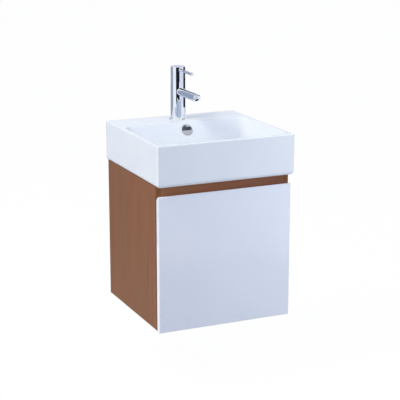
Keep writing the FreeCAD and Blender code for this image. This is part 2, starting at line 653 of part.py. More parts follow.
def make_cartridge(at):
    """Cartridge housing, its ring nut and the carrier and spindle that move in it."""
    shoulder = "(tap_joint - cartridge_nut_drop - cartridge_nut_height)"
    neck_top = "(tap_joint + neck_rise)"
    neck_floor = f"({neck_top} - carrier_depth)"
    foot = f"{shoulder} - cartridge_height"
    wide = "cartridge_diameter / 2"
    neck = "cartridge_neck / 2"
    bore = "carrier_diameter / 2"
    turned("cartridge_housing",
           [("0", foot), (wide, foot), (wide, shoulder), (neck, shoulder), (neck, neck_top), (bore, neck_top),
            (bore, neck_floor), ("0", neck_floor)], **at)
    nut_top = f"{shoulder} + cartridge_nut_height"
    ring = tube("cartridge_nut", "cartridge_nut_diameter / 2 - fit", f"{neck} + thread_fit", shoulder,
                nut_top, **at)
    notch = new_sketch(ring, "XY_Plane", nut_top)
    notch_half = "cartridge_nut_height / 5"
    rectangle(notch, f"-{notch_half}", "-cartridge_nut_diameter", notch_half, "cartridge_nut_diameter")
    extrude("Pocket", ring, notch, "cartridge_nut_height / 4")
    pivot = "(tap_joint - pivot_drop)"
    carrier = new_body("cartridge_carrier", **at)
    drum = new_sketch(carrier, "XY_Plane", f"{neck_floor} + running_fit")
    circle(drum, "0", "0", "carrier_diameter - 2 * running_fit")
    extrude("Pad", carrier, drum, "carrier_depth + carrier_rise")
    slot_top = f"({neck_top} + 2 * carrier_rise)"
    slot = new_sketch(carrier, "XY_Plane", slot_top)
    slot_half = "(spindle_width / 2 + running_fit)"
    rectangle(slot, f"-{slot_half}", "-carrier_diameter", slot_half, "carrier_diameter")
    extrude("Pocket", carrier, slot, f"{slot_top} - {pivot} + spindle_tail + spindle_depth / 2")
    cross = new_sketch(carrier, "YZ_Plane")
    circle(cross, "0", pivot, "pivot_pin")
    extrude("Pad", carrier, cross, "carrier_diameter * 0.8", both=True)
    spindle = new_body("cartridge_spindle", **at)
    blade = new_sketch(spindle, "YZ_Plane")
    blade_half = "spindle_depth / 2"
    rectangle(blade, f"-{blade_half}", f"{pivot} - spindle_tail", blade_half, f"{pivot} + spindle_rise")
    circle(blade, "0", pivot, "pivot_pin + 2 * running_fit")
    extrude("Pad", spindle, blade, "spindle_width", both=True)


def make_aerator():
    """Ring and insert in the spout's slanted mouth, along the mouth's own axis."""
    at = {"y": "-tap_setback - spout_length + mouth_setback", "z": f"{RIM} + spout_rise - mouth_drop",
          "axis": (1, 0, 0), "angle": "-mouth_tilt"}
    edge = "(aerator_flange / 2)"
    neck = "(aerator_thread / 2 - fit)"
    bore = "aerator_bore / 2"
    lip = "(aerator_bore / 2 - aerator_lip)"
    lip_top = "(-aerator_height + aerator_lip)"
    turned("aerator_housing",
           [(lip, "-aerator_height"), (f"{edge} - aerator_lip", "-aerator_height"), (edge, lip_top),
            (edge, "0"), (neck, "0"), (neck, "aerator_neck"), (bore, "aerator_neck"), (bore, lip_top),
            (lip, lip_top)], **at)
    insert = new_body("aerator_insert", **at)
    disc = new_sketch(insert, "XY_Plane", lip_top)
    circle(disc, "0", "0", "aerator_bore - 2 * fit")
    extrude("Pad", insert, disc, "aerator_plate")
    hole = new_sketch(insert, "XY_Plane", f"{lip_top} + aerator_plate")
    circle(hole, "aerator_bore * 0.28", "0", "aerator_bore / 8")
    cut = extrude("Pocket", insert, hole, "aerator_plate * 2")
    polar_copies(insert, cut, hole, 8)


def polar_copies(body, feature, sketch, count):
    """Copies of a cut round the piece's upright axis."""
    doc.recompute()
    pattern = body.newObject("PartDesign::PolarPattern", body.Name + "_pattern")
    pattern.Originals = [feature]
    pattern.Axis = (sketch, ["N_Axis"])
    pattern.Angle = 360
    pattern.Occurrences = count
    body.Tip = pattern


def make_handle():
    """Cap, pin lever and grub screw, which swivel and lift together."""
    at = {"y": "-tap_setback", "z": RIM}
    base = "(tap_joint + tap_joint_gap)"
    roof = f"({base} + cap_hollow)"
    radius = "tap_diameter / 2"
    cap = turned("handle_cap",
                 [("0", roof), (f"{radius} - cap_wall", roof), (f"{radius} - cap_wall", base), (radius, base),
                  (radius, "tap_height"), ("0", "tap_height")], **at)
    top = number("tap_height")
    round_edges(cap, "cap_round", lambda edge: near(box_of(edge).ZMin, top))
    socket = new_sketch(cap, "XY_Plane", roof)
    wide = "(spindle_width / 2 + fit)"
    deep = "(spindle_depth / 2 + fit)"
    rectangle(socket, f"-{wide}", f"-{deep}", wide, deep)
    extrude("Pocket", cap, socket, f"tap_joint - pivot_drop + spindle_rise + fit - {roof}", flip=True)
    lever_hole = new_sketch(cap, "XZ_Plane", "lever_root - fit")
    circle(lever_hole, "0", "tap_height - lever_drop", "lever_diameter + 2 * fit")
    extrude("Pocket", cap, lever_hole, "tap_diameter / 2", flip=True)
    grub_hole = new_sketch(cap, "XZ_Plane")
    circle(grub_hole, "0", "tap_height - grub_drop", "grub_diameter + 2 * fit")
    extrude("Pocket", cap, grub_hole, "tap_diameter")
    relief = new_sketch(cap, "YZ_Plane")
    rise = "tap_diameter * tan((lift_angle + lift_room) * 1deg)"
    outline(relief, [("0", f"{base} - tap_diameter"), ("tap_diameter", f"{base} - tap_diameter"),
                     ("tap_diameter", f"{base} + {rise}"), ("0", base)])
    extrude("Pocket", cap, relief, "tap_diameter * 2", both=True)
    thick = "lever_diameter / 2"
    lever = turned("lever_pin",
                   [("0", "-lever_reach"), (thick, "-lever_reach"), (thick, "-lever_root"),
                    ("0", "-lever_root")],
                   "XY_Plane", y="-tap_setback", z=f"{RIM} + tap_height - lever_drop")
    tip = -number("lever_reach")
    round_edges(lever, "lever_round", lambda edge: near(box_of(edge).YMax, tip))
    thick = "grub_diameter / 2"
    grub = turned("handle_grub_screw",
                  [("0", "0"), (thick, "0"), (thick, "grub_length"), ("0", "grub_length")],
                  "XY_Plane", y="-tap_setback + spindle_depth / 2", z=f"{RIM} + tap_height - grub_drop")
    key = new_sketch(grub, "XZ_Plane", "-grub_length")
    circle(key, "0", "0", "grub_key")
    extrude("Pocket", grub, key, "grub_length / 3", flip=True)


def make_waste():
    """Waste fitting and push plug, in heights above the dish round the drain."""
    at = {"y": f"-{DRAIN}", "z": DISH}
    flange_low = "(flange_proud - flange_height)"
    flange = "flange_diameter / 2"
    outer = "waste_diameter / 2"
    bore = "waste_bore / 2"
    tube("waste_top_seal", f"{flange} - seal_inset", "drain_hole / 2", "-recess_drop", flange_low, **at)
    body = turned("waste_body",
                  [(bore, "-waste_length"), (outer, "-waste_length"), (outer, flange_low),
                   (flange, flange_low), (flange, "0"), (f"{flange} - flange_bevel", "flange_proud"),
                   (f"{bore} + flange_height", "flange_proud"), (bore, flange_low)], **at)
    window_top = f"seat_height + {HOLLOW} - duct_wall - {DISH}"
    window = new_sketch(body, "XZ_Plane")
    rectangle(window, "-waste_window / 2", f"{window_top} - duct_rise", "waste_window / 2", window_top)
    extrude("Pocket", body, window, "waste_diameter * 2", both=True)
    boss_low = f"(seat_height - {DISH})"
    seal_low = f"({boss_low} - back_seal_height)"
    ring = f"({outer} + fit)"
    tube("waste_bottom_seal", "back_nut_diameter / 2", ring, seal_low, boss_low, **at)
    nut_low = f"{seal_low} - back_nut_height"
    nut = tube("waste_back_nut", "back_nut_diameter / 2", ring, nut_low, seal_low, **at)
    notch = new_sketch(nut, "XY_Plane", seal_low)
    inner = "back_nut_diameter / 2 - back_nut_notch / 2"
    rectangle(notch, inner, "-back_nut_notch / 2", "back_nut_diameter", "back_nut_notch / 2")
    cut = extrude("Pocket", nut, notch, "back_nut_height * 2")
    polar_copies(nut, cut, notch, 6)
    guide = new_body("plug_guide", **at)
    disc = new_sketch(guide, "XY_Plane", "-guide_drop - guide_height")
    circle(disc, "0", "0", "waste_bore - 2 * fit")
    circle(disc, "0", "0", "stem_diameter + 2 * running_fit")
    extrude("Pad", guide, disc, "guide_height")
    hole = new_sketch(guide, "XY_Plane", "-guide_drop")
    circle(hole, "(waste_bore + stem_diameter) / 4", "0", "guide_hole")
    cut = extrude("Pocket", guide, hole, "guide_height * 2")
    polar_copies(guide, cut, hole, 4)
    low = "(flange_proud + plug_gap)"
    edge = "plug_diameter / 2"
    turned("plug_cap", [("0", low), (f"{edge} - plug_edge", low), (edge, f"{low} + plug_edge / 2"),
                        (edge, f"{low} + plug_edge"),
                        (f"{edge} * 0.7", f"{low} + plug_edge + plug_crown * 0.6"),
                        ("0", f"{low} + plug_edge + plug_crown")], **at)
    turned("plug_stem", [("0", f"{low} - stem_length"), ("stem_diameter / 2", f"{low} - stem_length"),
                         ("stem_diameter / 2", low), ("0", low)], **at)


def trap_nut(name, mouth, lip, sense, plane="XZ_Plane", **where):
    """Slip nut: a fluted skirt over a neck and a lip round the pipe."""
    outer = "trap_nut_diameter / 2"
    neck = "(trap_neck_diameter / 2 + thread_fit)"
    pipe = "(pipe_diameter / 2 + thread_fit)"
    end = f"{lip} {sense} trap_nut_lip"
    nut = turned(name, [(neck, mouth), (outer, mouth), (outer, lip), (f"{outer} - trap_nut_lip / 3", end),
                        (pipe, end), (pipe, lip), (neck, lip)], plane, **where)
    cut_flutes(nut, outer, 12, "XY_Plane" if plane == "XZ_Plane" else "XZ_Plane")


def cut_flutes(body, radius, count, plane="XY_Plane"):
    """Grip flutes along a turned piece, their axes on one radius."""
    flute = new_sketch(body, plane)
    circle(flute, radius, "0", "nut_flute")
    cut = extrude("Pocket", body, flute, f"2 * {DRAIN}", both=True)
    polar_copies(body, cut, flute, count)


def make_trap():
    """Bottle trap, in heights above the seat at the drain axis."""
    at = {"y": f"-{DRAIN}", "z": "seat_height"}
    pipe = "(pipe_diameter / 2)"
    bore = "(pipe_diameter / 2 - pipe_wall)"
    collar_low = f"({WASTE_END} - collar_height)"
    trap_nut("trap_union_nut", f"{collar_low} + trap_nut_skirt", collar_low, "-", **at)
    collar = "(waste_diameter / 2)"
    dip_end = f"{collar_low} - dip_length"
    turned("trap_dip_tube", [(bore, dip_end), (pipe, dip_end), (pipe, collar_low), (collar, collar_low),
                             (collar, WASTE_END), (bore, WASTE_END)], **at)
    trap_nut("trap_top_nut", f"{NECK} - trap_nut_skirt", NECK, "+", **at)
    neck = "(trap_neck_diameter / 2)"
    hole = "(pipe_diameter / 2 + thread_fit)"
    outer = "(trap_diameter / 2)"
    inner = "(trap_diameter / 2 - trap_wall)"
    neck_low = f"({NECK} - trap_nut_skirt - trap_wall)"
    body = turned("trap_body",
                  [(hole, NECK), (neck, NECK), (neck, neck_low), (outer, f"{neck_low} - trap_shoulder"),
                   (outer, TRAP_END), (inner, TRAP_END),
                   (inner, f"{neck_low} - trap_shoulder - trap_wall / 2"),
                   (hole, f"{neck_low} - trap_wall / 2")], **at)
    spigot = new_sketch(body, "XZ_Plane", f"-({inner} - trap_wall / 3)")
    circle(spigot, "0", OUTLET, "trap_neck_diameter")
    circle(spigot, "0", OUTLET, f"2 * {hole}")
    extrude("Pad", body, spigot, f"outlet_spigot - ({inner} - trap_wall / 3)", flip=True)
    way = new_sketch(body, "XZ_Plane", f"-({inner} - trap_wall * 2)")
    circle(way, "0", OUTLET, f"2 * {hole}")
    extrude("Pocket", body, way, f"outlet_spigot - {inner} + trap_wall * 3")
    cup_low = f"({TRAP_END} - cup_depth)"
    cup = turned("trap_cup",
                 [("0", cup_low), (CUP_RADIUS, cup_low), (CUP_RADIUS, f"{TRAP_END} + cup_skirt"),
                  (f"{outer} + thread_fit", f"{TRAP_END} + cup_skirt"), (f"{outer} + thread_fit", TRAP_END),
                  (inner, TRAP_END), (inner, f"{cup_low} + cup_floor"),
                  ("0", f"{cup_low} + cup_floor")], **at)
    foot = number(cup_low)
    round_edges(cup, "cup_round", lambda edge: near(box_of(edge).ZMax, foot))
    cut_flutes(cup, f"{CUP_RADIUS} + nut_flute / 4", 16)
    along = {"y": f"-{DRAIN}", "z": f"seat_height + {OUTLET}"}
    trap_nut("trap_outlet_nut", "outlet_spigot - trap_nut_skirt", "outlet_spigot", "+", "XY_Plane", **along)
    start = "outlet_spigot - pipe_bury"
    stop = f"({DRAIN} - pipe_free)"
    bead = f"{pipe} + bead_height"
    turned("trap_outlet_pipe",
           [(bore, start), (pipe, start), (pipe, f"{stop} - bead_width"), (bead, f"{stop} - bead_width"),
            (bead, stop), (pipe, stop), (pipe, DRAIN), (bore, DRAIN)], "XY_Plane", **along)


# Dowel axes, as (Y, Z), by the board whose ends they enter.
DOWELS = {
    "bottom_panel": [("-dowel_front", f"{CABINET_BASE} + board / 2"),
                     (f"-{CABINET_DEPTH} / 2", f"{CABINET_BASE} + board / 2"),
                     (f"-{CABINET_DEPTH} + dowel_front", f"{CABINET_BASE} + board / 2")],
    "front_rail": [(f"-{CABINET_DEPTH} + board / 2", "seat_height - dowel_inset"),
                   (f"-{CABINET_DEPTH} + board / 2", "seat_height - front_rail_height + dowel_inset")],
    "hanging_rail": [("-board / 2", "seat_height - dowel_inset"),
                     ("-board / 2", "seat_height - hanging_rail_height + dowel_inset")],
    "lower_back_rail": [("-board / 2", f"{CABINET_BASE} + board + dowel_inset"),
                        ("-board / 2", f"{CABINET_BASE} + board + lower_rail_height - dowel_inset")],
}
RUNNER_SCREWS = [f"{RUNNER_MID} {step}" for step in ("- runner_screw_pitch", "+ 0", "+ runner_screw_pitch")]


def make_cabinet():
    hole = "dowel_diameter + 2 * fit"
    pilot = "runner_screw + 2 * fit"
    every_dowel = [axis for axes in DOWELS.values() for axis in axes]
    pilots = [(y, RUNNER_Z) for y in RUNNER_SCREWS]
    for side, sign in (("left", -1), ("right", 1)):
        outside = f"-{CABINET_HALF}" if sign < 0 else CABINET_HALF
        inside = f"-{INSIDE}" if sign < 0 else INSIDE
        body = new_body(f"{side}_side_panel")
        face = new_sketch(body, "YZ_Plane", outside)
        rectangle(face, f"-{CABINET_DEPTH}", CABINET_BASE, "0", "seat_height")
        extrude("Pad", body, face, "board", flip=sign > 0)
        outer_x = number(outside)
        round_edges(body, "edge_round",
                    lambda edge: near(box_of(edge).XMin, outer_x) and near(box_of(edge).XMax, outer_x))
        drill_x(body, inside, every_dowel, hole, "dowel_bury + fit", flip=sign > 0)
        drill_x(body, inside, pilots, pilot, "runner_screw_bite + fit", flip=sign > 0)
    rails = {
        "bottom_panel": ((f"-{CABINET_DEPTH}", CABINET_BASE),
                         ("0", f"{CABINET_BASE} + board")),
        "front_rail": ((f"-{CABINET_DEPTH}", "seat_height - front_rail_height"),
                       (f"-{CABINET_DEPTH} + board", "seat_height")),
        "hanging_rail": (("-board", "seat_height - hanging_rail_height"),
                         ("0", "seat_height")),
        "lower_back_rail": (("-board", f"{CABINET_BASE} + board"),
                            ("0", f"{CABINET_BASE} + board + lower_rail_height")),
    }
    for name, (low, high) in rails.items():
        body = board(name, (f"-{INSIDE}", *low), (INSIDE, *high))
        drill_x(body, f"-{INSIDE}", DOWELS[name], hole, "dowel_reach + fit", flip=True)
        drill_x(body, INSIDE, DOWELS[name], hole, "dowel_reach + fit")
        if name == "hanging_rail":
            screws = [(f"{side}hang_spacing / 2", "0") for side in ("-", "")]
            drill_front(body, "0", screws, "hang_hole", "board * 2")
    pegs = []
    for y, z in every_dowel:
        for start in (f"-{INSIDE} - dowel_bury", f"{INSIDE} - dowel_reach"):
            pegs.append(rod_x("dowel", "dowel_diameter / 2", "dowel_bury + dowel_reach", start, y, z))
    group("carcass_dowels", pegs)


def rod_x(name, radius, length, x, y, z):
    rod = doc.addObject("Part::Cylinder", name)
    bind(rod, Radius=radius, Height=length)
    place(rod, x, y, z, (0, 1, 0), "90")
    return rod


def rod_y(name, radius, length, x, y, z):
    """A rod from a point towards the front."""
    rod = doc.addObject("Part::Cylinder", name)
    bind(rod, Radius=radius, Height=length)
    place(rod, x, y, z, (1, 0, 0), "90")
    return rod


def group(name, pieces):
    compound = doc.addObject("Part::Compound", name)
    compound.Links = pieces
    return subpart(compound, name)


def make_drawer():
    body = new_body("drawer_front")
    section = new_sketch(body, "YZ_Plane")
    face = f"({FRONT_BACK} - front_board)"
    foot = f"({CABINET_BASE} - front_drop)"
    crest = "(seat_height - finger_gap)"
    outline(section, [(FRONT_BACK, foot), (face, foot), (face, crest), (f"{face} + bevel_land", crest),
                      (FRONT_BACK, f"{crest} - bevel_height")])
    extrude("Pad", body, section, f"2 * {CABINET_HALF}", both=True)
    front_y = number(face)
    round_edges(body, "front_round",
                lambda edge: near(box_of(edge).YMin, front_y) and box_of(edge).YLength < 1)
    low = f"({DRAWER_BASE} + front_screw_inset)"
    high = f"({DRAWER_BASE} + drawer_height - front_screw_inset)"
    screws = [(f"{side}front_screw_spacing / 2", z) for side in ("-", "") for z in (low, high)]
    drill_front(body, FRONT_BACK, screws, "front_screw + 2 * fit", "front_screw_bite + fit")
    inner_back = f"({FRONT_BACK} + drawer_board)"
    top = f"({DRAWER_BASE} + drawer_height)"
    plate = f"({DRAWER_BASE} + drawer_floor)"
    inner = board("drawer_inner_front", (f"-{DRAWER_HALF}", FRONT_BACK, DRAWER_BASE),
                  (DRAWER_HALF, inner_back, top))
    drill_front(inner, inner_back, screws, "front_screw + 2 * fit", "drawer_board * 2")
    clear = f"({DRAWER_HALF} - drawer_board)"
    wall = "(recess_width / 2 + drawer_board)"
    recess = f"(-{DRAIN} - {CUP_RADIUS} - recess_room)"
    pilots = [(y, RUNNER_Z) for y in RUNNER_SCREWS]
    for side, sign in (("left", "-"), ("right", "")):
        outer, inside, near_wall, far_wall = DRAWER_HALF, clear, "recess_width / 2", wall
        spans = {"side": (inside, outer), "back": (far_wall, inside), "recess": (near_wall, far_wall)}
        spans = {key: sorted((f"{sign}{a}", f"{sign}{b}"), key=number) for key, (a, b) in spans.items()}
        a, b = spans["side"]
        panel = board(f"drawer_side_{side}", (a, inner_back, DRAWER_BASE), (b, DRAWER_END, top))
        drill_x(panel, f"{sign}{outer}", pilots, "runner_screw + 2 * fit", "runner_screw_bite + fit",
                flip=sign == "-")
        a, b = spans["back"]
        board(f"drawer_back_{side}", (a, f"{DRAWER_END} - drawer_board", plate), (b, DRAWER_END, top))
        a, b = spans["recess"]
        board(f"drawer_recess_{side}", (a, recess, plate), (b, DRAWER_END, top))
    board("drawer_recess_front", (f"-{wall}", f"{recess} - drawer_board", plate), (wall, recess, top))
    bottom = board("drawer_bottom", (f"-{clear}", inner_back, DRAWER_BASE), (clear, DRAWER_END, plate))
    notch = new_sketch(bottom, "XY_Plane", plate)
    rectangle(notch, "-recess_width / 2", recess, "recess_width / 2", f"{DRAWER_END} + drawer_board")
    extrude("Pocket", bottom, notch, "drawer_floor * 2")
    bolts = []
    for x, z in screws:
        shank = rod_y("front_screw_shank", "front_screw / 2", "drawer_board + front_screw_bite", x,
                      inner_back, z)
        head = rod_y("front_screw_top", "front_screw_head / 2", "front_screw_cap", x,
                     f"{inner_back} + front_screw_cap", z)
        bolt = doc.addObject("Part::Fuse", "front_bolt")
        bolt.Base = shank
        bolt.Tool = head
        bolts.append(bolt)
    group("drawer_front_screws", bolts)
    pads = []
    for side in ("-", ""):
        for z in ("seat_height - bumper_inset - finger_gap", f"{CABINET_BASE} + bumper_inset"):
            x = f"{side}({CABINET_HALF} - board / 2)"
            pads.append(rod_y("bumper", "bumper_diameter / 2", "bumper_height", x,
                              f"{FRONT_BACK} + bumper_height", z))
    group("drawer_bumpers", pads)


def channel(name, web, lip, half_height, thickness, length, centre):
    """A C section along Y, given from the cabinet side of the runner."""
    body = doc.addObject("PartDesign::Body", name)
    sketch = new_sketch(body, "XZ_Plane", f"-({centre}) - {length} / 2")
    side = f"-{INSIDE} + "
    inward = "+" if number(lip) > number(web) else "-"
    face = f"{side}{web} {inward} {thickness}"
    points = []
    for sign in ("-", ""):
        edge = f"{RUNNER_Z} + ({sign}1) * ({half_height})"
        inner = f"{RUNNER_Z} + ({sign}1) * ({half_height} - {thickness})"
        corner = [(f"{side}{web}", edge), (f"{side}{lip}", edge), (f"{side}{lip}", inner), (face, inner)]
        points.extend(corner if sign else reversed(corner))
    outline(sketch, points)
    extrude("Pad", body, sketch, length)
    return body


def screw_seats(body, web, sense):
    """Countersunk holes through a runner's web; sense is the way the screws point."""
    for y in RUNNER_SCREWS:
        seat = body.newObject("PartDesign::SubtractiveCone", body.Name + "_seat")
        bind(seat, Radius1="runner_screw_head / 2 + fit", Radius2="runner_screw / 2 + fit",
             Height="runner_steel")
        place(seat, web, y, RUNNER_Z, (0, 1, 0), sense)


def runner_screw(x, y, sense):
    head = doc.addObject("Part::Cone", "screw_head")
    bind(head, Radius1="runner_screw_head / 2", Radius2="runner_screw / 2", Height="runner_steel")
    shank = doc.addObject("Part::Cylinder", "screw_shank")
    bind(shank, Radius="runner_screw / 2", Height="runner_steel + runner_screw_bite")
    screw = doc.addObject("Part::Fuse", "runner_screw")
    screw.Base = head
    screw.Tool = shank
    place(screw, x, y, RUNNER_Z, (0, 1, 0), sense)
    return screw


def mirrored(name, source):
    """The right-hand twin of a left-hand piece."""
    twin = doc.addObject("Part::Mirroring", name)
    twin.Source = source
    twin.Normal = FreeCAD.Vector(1, 0, 0)
    return twin


def both_sides(name, source):
    subpart(source, f"{name}_left")
    subpart(mirrored(f"{name}_right", source), f"{name}_right")


def make_runners():
    step = "(runner_steel + ball_diameter + 2 * ball_play)"
    tall = "(runner_height / 2)"
    mid_half = f"({tall} - {step})"
    inner_half = f"({tall} - 2 * {step})"
    outer = channel("runner_outer", "0", "outer_flange", tall, "runner_steel", RUNNER_LENGTH, RUNNER_MID)
    screw_seats(outer, f"-{INSIDE} + runner_steel", "-90")
    both_sides("runner_outer", outer)
    middle = channel("runner_middle", "middle_start", "middle_end", mid_half, "runner_steel", RUNNER_LENGTH,
                     RUNNER_MID)
    both_sides("runner_middle", middle)
    inner = channel("runner_inner", "runner_width", "inner_start", inner_half, "runner_steel", RUNNER_LENGTH,
                    RUNNER_MID)
    screw_seats(inner, f"-{INSIDE} + runner_width - runner_steel", "90")
    both_sides("runner_inner", inner)
    outer_web = "(runner_steel + cage_sheet)"
    outer_ball = "((middle_start + outer_flange) / 2)"
    make_cages("runner_outer_cages", outer_web, outer_ball, f"({mid_half} + ball_play + ball_diameter / 2)")
    inner_web = "(middle_start + runner_steel + (inner_start - middle_start - runner_steel - cage_sheet) / 2)"
    inner_ball = "((inner_start + middle_end) / 2)"
    make_cages("runner_inner_cages", inner_web, inner_ball, f"({inner_half} + ball_play + ball_diameter / 2)")
    sets = (("runner_outer_screws", f"({INSIDE} - runner_steel)", "-90"),
            ("runner_inner_screws", f"({INSIDE} - runner_width + runner_steel)", "90"))
    for name, x, sense in sets:
        left = [runner_screw(f"-{x}", y, sense) for y in RUNNER_SCREWS]
        right = [runner_screw(x, y, f"-({sense})") for y in RUNNER_SCREWS]
        group(name, left + right)


def make_cages(name, web, ball, half_height):
    """Ball cages of the left and right runner, each with two rows of balls."""
    length = "((ball_count - 1) * ball_pitch + 2 * cage_end)"
    reach = f"({ball} + ball_diameter * 0.6)"
    cage = channel(f"{name}_left", web, reach, f"({half_height} + cage_sheet / 2)", "cage_sheet", length,
                   RUNNER_MID)
    for sign in ("-", ""):
        bead = cage.newObject("PartDesign::AdditiveSphere", name + "_ball")
        bind(bead, Radius="ball_diameter / 2")
        place(bead, f"-{INSIDE} + {ball}", f"{RUNNER_MID} - (ball_count - 1) * ball_pitch / 2",
              f"{RUNNER_Z} + ({sign}1) * {half_height}")
        doc.recompute()
        line = cage.newObject("PartDesign::LinearPattern", name + "_row")
        line.Originals = [bead]
        axis = next(f for f in cage.Origin.OriginFeatures if f.Role == "Y_Axis")
        line.Direction = (axis, [""])
        bind(line, Length="(ball_count - 1) * ball_pitch", Occurrences="ball_count")
        cage.Tip = line
    group(name, [cage, mirrored(f"{name}_right", cage)])


def check_and_write():
    doc.recompute()
    for obj in doc.Objects:
        if "Invalid" in obj.State or "Error" in obj.State:
            raise RuntimeError(f"{obj.Label} failed: {obj.State}")
    for obj in SUBPARTS:
        if obj.Shape.isNull() or not obj.Shape.isValid() or not obj.Shape.Solids:
            raise RuntimeError(f"{obj.Label} has no valid solid")
    os.makedirs("parts", exist_ok=True)
    for obj in SUBPARTS:
        obj.Shape.exportStep(f"parts/{obj.Label}.step")
        print(obj.Label, len(obj.Shape.Solids), round(obj.Shape.Volume / 1000, 2))


make_basin()
make_overflow_ring()
make_tap()
make_handle()
make_waste()
make_trap()
make_cabinet()
make_drawer()
make_runners()
check_and_write()
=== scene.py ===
import json
import math

import bpy
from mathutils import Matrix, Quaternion, Vector


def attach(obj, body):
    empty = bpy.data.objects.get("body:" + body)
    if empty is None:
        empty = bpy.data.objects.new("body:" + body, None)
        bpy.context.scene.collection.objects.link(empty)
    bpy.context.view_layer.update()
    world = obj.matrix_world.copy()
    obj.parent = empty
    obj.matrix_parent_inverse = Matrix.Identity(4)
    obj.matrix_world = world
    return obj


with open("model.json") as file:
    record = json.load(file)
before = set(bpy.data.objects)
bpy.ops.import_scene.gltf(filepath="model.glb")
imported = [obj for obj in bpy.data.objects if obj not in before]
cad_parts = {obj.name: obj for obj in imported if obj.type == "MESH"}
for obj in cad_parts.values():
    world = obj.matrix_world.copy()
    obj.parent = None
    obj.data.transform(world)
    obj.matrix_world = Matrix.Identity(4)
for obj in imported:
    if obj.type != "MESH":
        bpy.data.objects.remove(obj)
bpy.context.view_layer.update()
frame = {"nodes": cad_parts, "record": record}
NODES = frame["nodes"]
SCENE = bpy.context.scene
X, Y, Z = 0, 1, 2
WHITE = (1.0, 1.0, 1.0)

# Camera fitted to the photograph's edges: a 36 mm sensor across a square picture.
CAMERA_AT = Vector((-1.7162, -4.0596, 1.0284))
CAMERA_LOOK = Vector((0.39721, 0.88279, -0.25080))
CAMERA_ROLL = math.radians(-0.008)
CAMERA_LENS = 116.07
CAMERA_SENSOR = 36.0

# Where a material changes on the part: from and to along one axis, in metres.
CLAY_WALL_Y = (-0.0030, -0.0012)
CLAY_SEAT_Z = (0.0562, 0.0580)
EDGE_BAND_Y = (-0.4288, -0.4285)
# The next span is a dark line of painted shade on the side face, just behind its front edge.
PAINTED_SHADE_LINE_Y = (-0.4262, -0.4254)
BARE_BACK_Y = (-0.0008, -0.0004)
# The next span carries painted light and shade along the front rail.
RAIL_SHADE_SPAN_X = (-0.22, 0.22)

# Colours by texture value.
GLAZE = [(0.30, (0.795, 0.822, 0.885)), (0.70, (0.820, 0.844, 0.902))]
GLAZE_SPECK = (0.62, 0.62, 0.60)
CLAY = [(0.25, (0.62, 0.60, 0.56)), (0.75, (0.74, 0.72, 0.68))]
CLAY_ROUGHNESS = 0.60
PAINT = [(0.30, (0.812, 0.835, 0.925)), (0.70, (0.836, 0.857, 0.940))]
PAINT_FLECK = (0.60, 0.61, 0.66)
MELAMINE = [(0.3, (0.73, 0.73, 0.72)), (0.7, (0.77, 0.77, 0.76))]
CHIPBOARD = [(0.28, (0.20, 0.12, 0.06)), (0.42, (0.40, 0.27, 0.15)),
             (0.55, (0.52, 0.38, 0.23)), (0.72, (0.64, 0.51, 0.34))]
VENEER = [(0.25, (0.232, 0.112, 0.060)), (0.42, (0.272, 0.132, 0.072)),
          (0.56, (0.292, 0.125, 0.069)), (0.75, (0.318, 0.160, 0.090))]
VENEER_STREAKS = [(0.25, (0.80, 0.77, 0.74)), (0.55, WHITE), (0.80, (1.10, 1.09, 1.07))]
VENEER_FIBRES = [(0.28, (0.80, 0.77, 0.75)), (0.60, WHITE)]
VENEER_PORE = (0.070, 0.032, 0.020)
PORE_VALUES = (0.26, 0.38)
# A real edge band on the panels' front edges, its colour darkened as painted shade.
SHADED_EDGE_BAND = [(0.28, (0.247, 0.104, 0.050)), (0.65, (0.302, 0.129, 0.063))]
# Painted shade: a dark line on the side panel's face just behind its front edge.
PAINTED_SHADE_LINE = (0.075, 0.034, 0.021)
# Painted light and shade along the front rail: lighter at its left end, darker at its right end.
RAIL_PAINTED_LIGHT_AND_SHADE = [(0.0, (1.13, 1.06, 1.02)), (1.0, (0.71, 0.70, 0.73))]
SIDE_TONE = 0.89
# Painted light: the rail's veneer is made brighter than the side's, for the rail's shaded recess
# under the basin.
RAIL_PAINTED_LIGHT_TONE = 1.42

# Sockets of Blender's colour mix: factor and the two colours, and the result.
MIX_INPUTS = (0, 6, 7)
MIX_RESULT = 2


